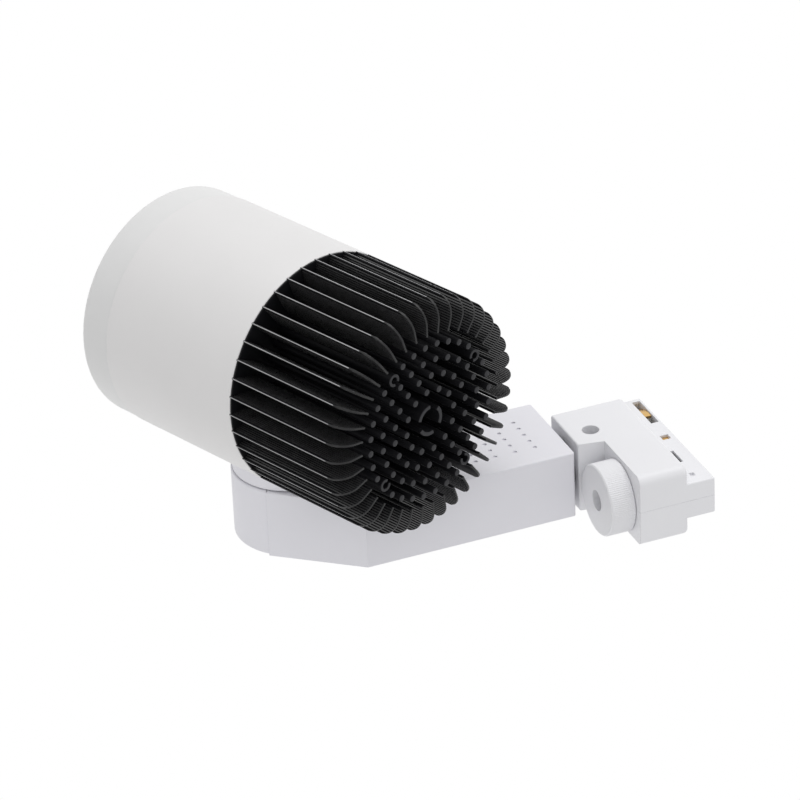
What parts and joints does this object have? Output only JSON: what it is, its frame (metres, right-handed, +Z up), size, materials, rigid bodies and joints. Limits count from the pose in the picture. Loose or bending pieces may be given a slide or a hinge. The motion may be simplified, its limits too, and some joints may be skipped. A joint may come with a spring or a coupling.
{
  "type": "track spotlight",
  "caption": "Track spotlight: a keyed adaptor with a lock knob, a swivelling dog-leg driver box with vents, and a tilting tubular lamp head with a finned and pinned heat sink.",
  "frame": {"origin": "middle of the adaptor's neck on its seat, the plane that meets the track's lips", "axes": "+Z up into the track; +X along the track towards the lock knob; +Y across the track, away from the lamp head"},
  "size_m": [0.2046, 0.1536, 0.2633],
  "materials": {
    "white_moulding": "satin",
    "box_moulding": "satin",
    "tube_paint": "satin",
    "frosted_ring": "frosted",
    "clear_glass": "polished",
    "reflector_metal": "bright",
    "black_anodised": "gloss black anodised",
    "zinc_steel": "zinc plated",
    "contact_brass": "plain",
    "inner_nylon": "matte",
    "dark_collar": "matte",
    "cast_pad": "cast",
    "circuit_board": "satin",
    "ferrite": "matte",
    "capacitor_sleeve": "gloss",
    "dark_component": "matte",
    "insulation_film": "matte",
    "cable_sheath": "matte",
    "thermal_gum": "matte",
    "ceramic": "matte",
    "phosphor": "matte"
  },
  "bodies": {
    "adaptor": {"adaptor_head_side_shell": "white_moulding", "adaptor_back_side_shell": "white_moulding", "adaptor_screws": "zinc_steel", "earth_contact": "contact_brass", "lead_block": "inner_nylon", "adaptor_lead": "cable_sheath"},
    "lock": {"lock_knob": "white_moulding", "lock_knob_screw": "zinc_steel", "lock_shaft": "zinc_steel", "lock_cam": "inner_nylon", "cam_clip": "zinc_steel"},
    "link": {"contact_link": "inner_nylon"},
    "rotor": {"contact_rotor": "inner_nylon", "live_contact_blade": "contact_brass", "neutral_contact_blade": "contact_brass"},
    "driver_box": {"driver_box_shell": "box_moulding", "driver_cover": "box_moulding", "cover_screws": "zinc_steel", "pivot_turret": "box_moulding", "turret_cap": "box_moulding", "turret_screws": "zinc_steel", "swivel_nipple": "zinc_steel", "swivel_collar": "dark_collar", "swivel_upper_nut": "zinc_steel", "swivel_lower_nut": "zinc_steel", "swivel_washer": "inner_nylon", "driver_board": "circuit_board", "transformer": "ferrite", "capacitors": "capacitor_sleeve", "inductor": "ferrite", "power_parts": "dark_component", "output_terminal": "inner_nylon", "insulation_sheet": "insulation_film", "board_pillars": "inner_nylon", "mains_lead": "cable_sheath", "output_lead": "cable_sheath"},
    "lamp_head": {"lamp_tube": "tube_paint", "front_ring": "frosted_ring", "front_glass": "clear_glass", "reflector": "reflector_metal", "heat_sink": "black_anodised", "thermal_pad": "thermal_gum", "led_substrate": "ceramic", "led_phosphor": "phosphor", "led_holder": "inner_nylon", "holder_screws": "zinc_steel", "sink_screws": "zinc_steel", "pivot_saddle": "box_moulding", "saddle_screws": "zinc_steel", "inner_pad": "cast_pad", "pivot_bolt": "zinc_steel", "friction_washer": "inner_nylon", "spring_washer": "zinc_steel", "pivot_nut": "zinc_steel", "led_lead": "cable_sheath"}
  },
  "joints": [
    {"name": "box_swivel", "type": "hinge", "parent": "adaptor", "child": "driver_box", "pos_m": [-0.0162, 0, -0.0382], "axis": [0, 0, 1], "range_deg": [-175, 175]},
    {"name": "head_tilt", "type": "hinge", "parent": "driver_box", "child": "lamp_head", "pos_m": [-0.0486, -0.017, -0.166], "axis": [0, 1, 0], "range_deg": [-157.65, 22.35]},
    {"name": "lock_turn", "type": "hinge", "parent": "adaptor", "child": "lock", "pos_m": [0.02115, 0.001, -0.0254], "axis": [0, 0, 1], "range_deg": [0, 90]},
    {"name": "rotor_turn", "type": "hinge", "parent": "adaptor", "child": "rotor", "pos_m": [-0.0286, 0, 0], "axis": [0, 0, 1], "range_deg": [0, 90]},
    {"name": "link_swing", "type": "hinge", "parent": "lock", "child": "link", "pos_m": [0.01747, -0.00268, 0.0026], "axis": [0, 0, 1], "range_deg": [-90, 0]}
  ],
  "couplings": [
    {"joint": "rotor_turn", "follows": "lock_turn", "ratio": 1},
    {"joint": "link_swing", "follows": "lock_turn", "ratio": -1}
  ]
}
